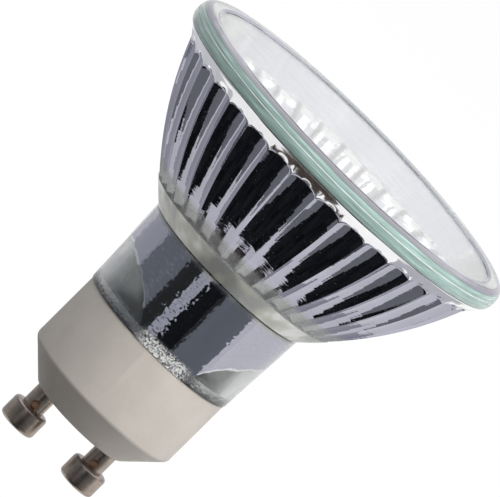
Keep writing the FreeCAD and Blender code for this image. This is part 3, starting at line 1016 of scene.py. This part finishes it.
def floor_finish():
    """Pale floor that stays white to the camera, keeps a trace of shadow and is clear from below."""
    finish = Finish("pale_floor")
    cloud = finish.noise(finish.place(), 4.0, 2.0)
    tone = finish.mix(cloud, (0.86, 0.86, 0.86), (0.84, 0.84, 0.84))
    lit = finish.principled(Base_Color=tone, Roughness=0.9, Specular_IOR_Level=0.0)
    white = finish.node("ShaderNodeEmission", None, {"Color": WHITE, "Strength": 1.05}).out(0)
    top = finish.blend(bright_share(finish) * 0.85, lit, white)
    below = finish.node("ShaderNodeNewGeometry").out("Backfacing")
    clear = finish.node("ShaderNodeBsdfTransparent").out(0)
    return finish.done(finish.blend(below, top, clear))


# Tone of each kind of card, with the scale of its cloud and how dark that is
CARD_TONES = {
    "black": ((0.022, 0.024, 0.026), 60.0, 0.3),
    "brown": ((0.075, 0.06, 0.055), 60.0, 0.5),
    "side": ((0.29, 0.30, 0.31), 6.0, 0.85),
    "far_side": ((0.34, 0.35, 0.38), 6.0, 0.85),
    "back_side": ((0.60, 0.61, 0.64), 6.0, 0.85),
    "dusk": ((0.48, 0.48, 0.53), 6.0, 0.85),
    "grey": ((0.235, 0.255, 0.275), 6.0, 0.85),
    "pale": ((0.92, 0.94, 0.98), 34.0, 0.45),
    "lavender": ((0.64, 0.63, 0.76), 6.0, 0.85),
    "bright": ((2.0, 2.0, 2.0), 6.0, 0.85),
    "dim": ((0.32, 0.34, 0.40), 6.0, 0.85),
}

# Kind and corners, in millimetres, of the level cards over the floor
LEVEL_CARDS = {
    "card_low": ("black", ((-70, -240), (61, -240), (61, -30), (56, -24), (30, -24), (20, -28.5),
                           (-22, -28.5), (-34, -23), (-44, -16), (-56, -22), (-64, -29), (-70, -34))),
    "card_left": ("side", rectangle(-135, -240, -70, -6)),
    "card_far_left": ("far_side", rectangle(-400, -240, -135, 8)),
    "card_back_left": ("back_side", rectangle(-400, 8, -60, 300)),
    "card_right": ("side", rectangle(61, -240, 112, -16)),
    "card_under": ("brown", rectangle(-22, -26, 13, -3.5)),
    "card_back_right": ("dusk", rectangle(50, 12, 80, 170)),
}
SHADE_CORNERS = rectangle(-70, -60, 12, 40)
FLOOR_CORNERS = rectangle(-6000, -6000, 6000, 6000)
CARD_RISE, SHADE_DROP, FOLD_DROP = 4 * MM, 1 * MM, 0.5 * MM

# Azimuths, in degrees, and kind of the screens round the lamp: folded onto the floor, all round, and on top
FOLDED_SCREENS = (("left", -100, -46, "grey"), ("dark_left", -46, -26, "black"),
                  ("middle", -26, -3.4, "pale"), ("dark_right", -3.4, 22.6, "black"),
                  ("right", 22.6, 71, "grey"), ("far_left", -150, -100, "back_side"))
RING_SCREENS = (("over", -180, 180, "lavender"),)
TOP_SCREENS = (("top_wide", -180, -40, "bright"), ("top_grey_left", -40, -28, "dim"),
               ("top_white", -28, -6, "bright"), ("top_grey", -6, 16, "dim"),
               ("top_white_right", 16, 50, "bright"), ("top_grey_right", 50, 62, "dim"),
               ("top_wide_right", 62, 180, "bright"))
SCREEN_NEAR, SCREEN_REACH = 0.15, 0.6
FOLD_TOP, RING_TOP, SCREEN_TOP = 0.165, 0.47, 0.9

# Place, in metres, and power, in watts, of the two area lamps
LAMPS = {"key": ((1.0, -0.7, 0.9), 10.5), "top": ((0.1, -0.6, 1.2), 17.5)}
LAMP_SIZE = 1.2
LAMP_AIM = Vector((0, 0, 0.02))
ROOM_LIGHT = 0.36
CAMERA_CLIP = 50.0


class LAMP_OT_stage(Operator):
    """Set up the floor, the cards, the lamps and the camera"""
    bl_idname = "lamp.stage"
    bl_label = "Stage"

    def execute(self, context):
        scene, stage = context.scene, context.scene.lamp_stage
        floor_z = PIN_LOW.z - stage.floor_drop
        level_card("floor", FLOOR_CORNERS, floor_z, floor_finish(), True)
        finishes = {kind: card_finish(kind + "_card", *tone) for kind, tone in CARD_TONES.items()}
        self.lay_cards(finishes, floor_z + CARD_RISE)
        self.stand_screens(finishes, floor_z + CARD_RISE - FOLD_DROP)
        self.light_world(scene)
        for name, (place, power) in LAMPS.items():
            self.add_lamp(scene, name, place, power)
        self.add_camera(scene, stage)
        scene.view_settings.view_transform = "Standard"
        return {"FINISHED"}

    @staticmethod
    def lay_cards(finishes, z):
        """Level cards that the mirror and the glass see, and one that only dims the light from below."""
        for name, (kind, corners) in LEVEL_CARDS.items():
            level_card(name, corners, z, finishes[kind], False)
        shade_card = level_card("shade_card", SHADE_CORNERS, z - SHADE_DROP, finishes["black"], False)
        shade_card.visible_glossy = False
        shade_card.visible_transmission = False

    @staticmethod
    def stand_screens(finishes, fold_z):
        """Screens round the lamp that only its mirror and its glass see."""
        folded = ((SCREEN_NEAR, fold_z), (SCREEN_REACH, fold_z), (SCREEN_REACH, FOLD_TOP))
        ring = ((SCREEN_REACH, FOLD_TOP), (SCREEN_REACH, RING_TOP))
        top = ((SCREEN_REACH, RING_TOP), (SCREEN_REACH, SCREEN_TOP))
        for outline, screens in ((folded, FOLDED_SCREENS), (ring, RING_SCREENS), (top, TOP_SCREENS)):
            for name, start, end, kind in screens:
                screen_part("screen_" + name, start, end, outline, finishes[kind])

    @staticmethod
    def light_world(scene):
        """A white room that lights the lamp less than it shows."""
        room = Finish("white_room", "worlds")
        strength = bright_share(room) * (1 - ROOM_LIGHT) + ROOM_LIGHT
        back = room.node("ShaderNodeBackground", None, {"Color": WHITE, "Strength": strength})
        scene.world = room.done(back.out(0), "ShaderNodeOutputWorld")

    @staticmethod
    def add_lamp(scene, name, place, power):
        """An area lamp that no mirror or glass shows."""
        light = bpy.data.lights.new(name, "AREA")
        light.size = LAMP_SIZE
        light.energy = power
        lamp = bpy.data.objects.new(name, light)
        lamp.location = place
        lamp.rotation_euler = (LAMP_AIM - Vector(place)).to_track_quat("-Z", "Y").to_euler()
        lamp.visible_glossy = False
        lamp.visible_transmission = False
        scene.collection.objects.link(lamp)

    @staticmethod
    def add_camera(scene, stage):
        """The camera of the photograph: a little above the rim, with the lamp leaning to the right."""
        side = Vector((1, 0, 0))
        rise = Vector((0, math.sin(stage.elevation), math.cos(stage.elevation)))
        right = side * math.sin(stage.tilt) + rise * math.cos(stage.tilt)
        up = side * -math.cos(stage.tilt) + rise * math.sin(stage.tilt)
        back = right.cross(up)
        target = Vector((stage.target_side, 0, stage.target_height))
        view = bpy.data.cameras.new("camera")
        view.lens = view.sensor_width * stage.distance / stage.view_width
        view.clip_end = CAMERA_CLIP
        camera = bpy.data.objects.new("camera", view)
        turn = Matrix((right, up, back)).transposed().to_4x4()
        camera.matrix_world = Matrix.Translation(target + back * stage.distance) @ turn
        scene.collection.objects.link(camera)
        scene.camera = camera


OPERATORS = (LAMP_OT_reflector, LAMP_OT_front_glass, LAMP_OT_base, LAMP_OT_pins, LAMP_OT_capsule,
             LAMP_OT_stage)


class LAMP_PT_panel(Panel):
    """The lamp's pieces in the sidebar"""
    bl_idname = "LAMP_PT_panel"
    bl_label = "Reflector lamp"
    bl_space_type = "VIEW_3D"
    bl_region_type = "UI"
    bl_category = "Lamp"

    def draw(self, context):
        for operator in OPERATORS:
            self.layout.operator(operator.bl_idname)


GROUPS = {"lamp_sizes": LampSizes, "lamp_colours": LampColours, "lamp_stage": StageSettings}
CLASSES = tuple(GROUPS.values()) + OPERATORS + (LAMP_PT_panel,)


def register():
    """Add the classes and the lamp's settings."""
    for item in CLASSES:
        bpy.utils.register_class(item)
    for name, group in GROUPS.items():
        setattr(bpy.types.Scene, name, PointerProperty(type=group))


def unregister():
    """Take the classes and settings away again."""
    for name in GROUPS:
        delattr(bpy.types.Scene, name)
    for item in reversed(CLASSES):
        bpy.utils.unregister_class(item)


def main():
    """Build the lamp piece by piece."""
    register()
    bpy.ops.lamp.reflector()
    bpy.ops.lamp.front_glass()
    bpy.ops.lamp.base()
    bpy.ops.lamp.pins()
    bpy.ops.lamp.capsule()
    bpy.ops.lamp.stage()


if __name__ == "__main__":
    main()
